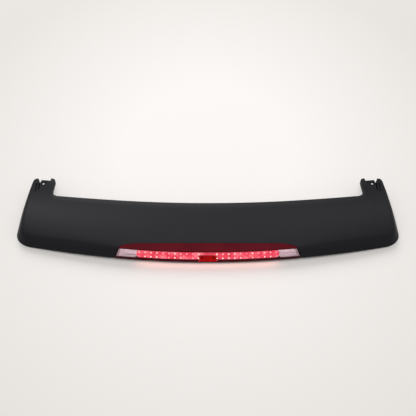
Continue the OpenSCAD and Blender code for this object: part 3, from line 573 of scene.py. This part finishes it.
class SPOILER_OT_stage(bpy.types.Operator):
    """Add the floor, the light and the camera"""

    bl_idname = "spoiler.stage"
    bl_label = "Stage"

    def execute(self, context):
        settings = context.scene.spoiler_stage
        self.add_floor(context, settings)
        self.add_lights(context, settings)
        self.add_glow(context, settings)
        self.add_camera(context, settings)
        context.scene.view_settings.view_transform = "Standard"
        return {"FINISHED"}

    def add_floor(self, context, settings):
        clear_selection()
        bpy.ops.mesh.primitive_plane_add(size=FLOOR_SIZE, location=(0, 0, 0))
        floor = context.object
        floor.name = "floor"
        settle(floor)
        material, tree, shader = new_material("floor_with_painted_light", Roughness=0.85)
        place = add_node(tree, "ShaderNodeTexCoord").outputs["Object"]
        spread = add_node(
            tree, "ShaderNodeMapping", inputs={"Location": FLOOR_SHIFT, "Scale": FLOOR_STRETCH},
            links={"Vector": place},
        ).outputs["Vector"]
        # The floor fades from its pale middle to a darker colour away from the part: a painted pool of light
        reach = add_node(
            tree, "ShaderNodeVectorMath", settings={"operation": "LENGTH"}, links={"Vector": spread}
        ).outputs["Value"]
        share = add_node(
            tree, "ShaderNodeMath", settings={"operation": "DIVIDE"}, inputs={1: settings.light_pool_fade},
            links={0: reach},
        ).outputs["Value"]
        pale = add_node(
            tree, "ShaderNodeValToRGB", links={"Fac": share},
            stops=[
                (FLOOR_PALE_SHARE, linear(settings.floor_colour)),
                (1.0, linear(settings.floor_shade_colour)),
            ],
        ).outputs["Color"]
        tree.links.new(pale, shader.inputs["Base Color"])
        floor.data.materials.append(material)

    def add_lights(self, context, settings):
        world = bpy.data.worlds.new("studio")
        world.use_nodes = True
        background = world.node_tree.nodes["Background"]
        background.inputs["Color"].default_value = (1.0, 1.0, 1.0, 1.0)
        background.inputs["Strength"].default_value = settings.sky_level
        context.scene.world = world

        lights = (
            ("key", KEY_PLACE, KEY_WIDTH, settings.key_power),
            ("fill", FILL_PLACE, FILL_WIDTH, settings.fill_power),
        )
        for name, place, width, power in lights:
            bpy.ops.object.light_add(type="AREA", location=place)
            light = context.object
            light.name = name
            light.data.shape = "DISK"
            light.data.size = width
            light.data.energy = power
            light.rotation_mode = "QUATERNION"
            light.rotation_quaternion = (-Vector(place)).to_track_quat("-Z", "Y")

    def add_glow(self, context, settings):
        down = Vector(GLOW_AIM).to_track_quat("-Z", "Y").to_matrix().to_4x4()
        for index in range(GLOWS):
            x = (index - (GLOWS - 1) / 2) * GLOW_PITCH
            bpy.ops.object.light_add(type="AREA")
            glow = context.object
            glow.name = f"lamp_glow_{index}"
            glow.data.shape = "RECTANGLE"
            glow.data.size = GLOW_PITCH
            glow.data.size_y = GLOW_HEIGHT
            glow.data.energy = settings.glow_power / GLOWS
            glow.data.color = linear(settings.glow_colour)[:3]
            place = face_frame(x, GLOW_UP, -GLOW_OUT).to_translation()
            turn = Matrix.Rotation(math.asin(x / TRAIL_R), 4, "Z")
            glow.matrix_world = Matrix.Translation(place) @ turn @ down

    def add_camera(self, context, settings):
        view = Vector((0, math.cos(settings.elevation), -math.sin(settings.elevation)))
        bpy.ops.object.camera_add(location=Vector(CAMERA_AIM) - view * settings.distance)
        camera = context.object
        camera.rotation_mode = "QUATERNION"
        camera.rotation_quaternion = view.to_track_quat("-Z", "Y")
        camera.data.sensor_width = SENSOR_WIDTH
        camera.data.lens = settings.lens
        camera.data.clip_end = CLIP_END
        context.scene.camera = camera


class SPOILER_OT_shells(bpy.types.Operator):
    """Dress the upper shell and the under panel"""

    bl_idname = "spoiler.shells"
    bl_label = "Shells"

    def execute(self, context):
        settings = context.scene.spoiler_shell
        skin = smooth_copy("upper_shell", "satin_skin", SHELL_ANGLE)
        satin = satin_abs(
            "satin_abs", settings.skin_colour, settings.skin_roughness, settings.grain, SKIN_RELIEF
        )
        hand_in(skin, satin, ["upper_shell"])
        panel = smooth_copy("lower_shell", "under_panel", SHELL_ANGLE)
        coarse = settings.grain * PANEL_COARSENESS
        grained = satin_abs("grained_abs", settings.panel_colour, PANEL_ROUGHNESS, coarse, PANEL_RELIEF)
        hand_in(panel, grained, ["lower_shell"])
        return {"FINISHED"}


class SPOILER_OT_lamp(bpy.types.Operator):
    """Dress the lamp's frame, window and optic, and add the light points"""

    bl_idname = "spoiler.lamp"
    bl_label = "Lamp"

    def execute(self, context):
        settings = context.scene.spoiler_lamp
        paint("lens_frame", dyed_pmma(settings))
        paint("lens_window", clear_pmma())
        optic = smooth_copy("lamp_optic", "pillow_optic", SOFT_ANGLE)
        hand_in(optic, lit_pmma(settings), ["lamp_optic"])
        self.add_spots(context, settings)
        return {"FINISHED"}

    def add_spots(self, context, settings):
        clear_selection()
        bpy.ops.mesh.primitive_uv_sphere_add(segments=SPOT_SIDES, ring_count=SPOT_RINGS, radius=SPOT_R)
        first = context.object
        first.scale = (1.0, 1.0, SPOT_FLATNESS)
        settle(first)
        bpy.ops.object.shade_smooth()
        material = lit_spot(settings)
        places = [(x, up) for x in light_columns(settings) for up in ROWS]
        spots = [first]
        for _ in places[1:]:
            spot = first.copy()
            spot.data = first.data.copy()
            context.scene.collection.objects.link(spot)
            spots.append(spot)
        for index, (spot, (x, up)) in enumerate(zip(spots, places)):
            spot.name = f"light_spot_{index:02d}"
            spot.matrix_world = face_frame(x, up, OPTIC_DEPTH - PILLOW)
            settle(spot)
            hand_in(spot, material)


class SPOILER_OT_inner(bpy.types.Operator):
    """Dress what sits behind the lamp's window"""

    bl_idname = "spoiler.inner"
    bl_label = "Inner pieces"

    def execute(self, context):
        # Polycarbonate, metallised: a silvery pink with soft streaks, bright from the lit lamp
        mirror = metal("metallised_pc", "#f8eff2", 0.4, streak=22.0, depth=0.36, glow=0.18, across=220.0)
        paint("lamp_reflector", mirror)
        # ABS and PBT, moulded: a dull black and a slightly shinier one
        paint("lamp_housing", plain_plastic("tray_abs", "#18181a", 0.5))
        paint("lamp_socket", plain_plastic("socket_pbt", "#141415", 0.45))
        # Glass-fibre board under green lacquer, and the pale packages of the light points
        paint("led_board", plain_plastic("board_fr4", "#2a5c40", 0.4))
        paint("leds", plain_plastic("led_package", "#f4f0e0", 0.3))
        # Drawn brass: a bright yellow with fine lines
        paint("socket_pins", metal("pin_brass", "#c9a452", 0.25, streak=300.0, depth=0.15))
        return {"FINISHED"}


class SPOILER_OT_fixings(bpy.types.Operator):
    """Dress the screws, inserts and clips"""

    bl_idname = "spoiler.fixings"
    bl_label = "Fixings"

    def execute(self, context):
        # Cold-formed steel, zinc plated: a greyish silver
        zinc = metal("zinc_plated_steel", "#9a9ca0", 0.34, streak=400.0, depth=0.15)
        paint("shell_screws", zinc)
        paint("lamp_screws", zinc)
        # Rolled spring steel: a darker silver with longer lines
        paint("front_clips", metal("spring_steel", "#7c7f84", 0.38, streak=120.0, depth=0.15))
        # Black zinc plating, which looks dark red in the light of the lit block
        black = metal("black_zinc_steel", "#5a0c0c", 0.5, streak=400.0, depth=0.2, glow=0.5)
        paint("block_screws", black)
        # Turned brass: a duller yellow with fine lines
        paint("thread_inserts", metal("insert_brass", "#b8923f", 0.32, streak=500.0, depth=0.15))
        return {"FINISHED"}


class SPOILER_OT_soft(bpy.types.Operator):
    """Dress the seals, pads, gasket and grommets"""

    bl_idname = "spoiler.soft"
    bl_label = "Seals and grommets"

    def execute(self, context):
        # The foam is a dusty dark grey, and the moulded rubber a plain black
        foam = soft_stuff("closed_cell_foam", "#2b2b2d", 0.95, cell=0.0016, bump=0.6)
        rubber = soft_stuff("epdm_rubber", "#0a0a0a", 0.6, cell=0.0009, bump=0.15)
        for node in ("dome_seals", "foam_pads", "lamp_gasket"):
            paint(node, foam)
        for node in ("ear_grommets", "cable_grommet"):
            paint(node, rubber)
        seal = smooth_copy("front_seal", "soft_front_seal", SOFT_ANGLE)
        hand_in(seal, rubber, ["front_seal"])
        return {"FINISHED"}


class SPOILER_PT_panel(bpy.types.Panel):
    """The spoiler's operators and sizes"""

    bl_idname = "SPOILER_PT_panel"
    bl_label = "Roof spoiler"
    bl_space_type = "VIEW_3D"
    bl_region_type = "UI"
    bl_category = "Spoiler"

    def draw(self, context):
        for operator in OPERATORS:
            self.layout.operator(operator.bl_idname)
        for name in GROUPS:
            group = getattr(context.scene, name)
            box = self.layout.box()
            for key in group.__annotations__:
                box.prop(group, key)


GROUPS = {
    "spoiler_stage": SPOILER_PG_stage,
    "spoiler_shell": SPOILER_PG_shell,
    "spoiler_lamp": SPOILER_PG_lamp,
}
OPERATORS = (
    SPOILER_OT_stage,
    SPOILER_OT_shells,
    SPOILER_OT_lamp,
    SPOILER_OT_inner,
    SPOILER_OT_fixings,
    SPOILER_OT_soft,
)


def register():
    for cls in (*GROUPS.values(), *OPERATORS, SPOILER_PT_panel):
        bpy.utils.register_class(cls)
    for name, cls in GROUPS.items():
        setattr(bpy.types.Scene, name, PointerProperty(type=cls))


def unregister():
    for name in GROUPS:
        delattr(bpy.types.Scene, name)
    for cls in (SPOILER_PT_panel, *reversed(OPERATORS), *GROUPS.values()):
        bpy.utils.unregister_class(cls)


def main():
    register()
    bpy.ops.spoiler.stage()
    bpy.ops.spoiler.shells()
    bpy.ops.spoiler.lamp()
    bpy.ops.spoiler.inner()
    bpy.ops.spoiler.fixings()
    bpy.ops.spoiler.soft()
    clear_selection()


if __name__ == "__main__":
    main()
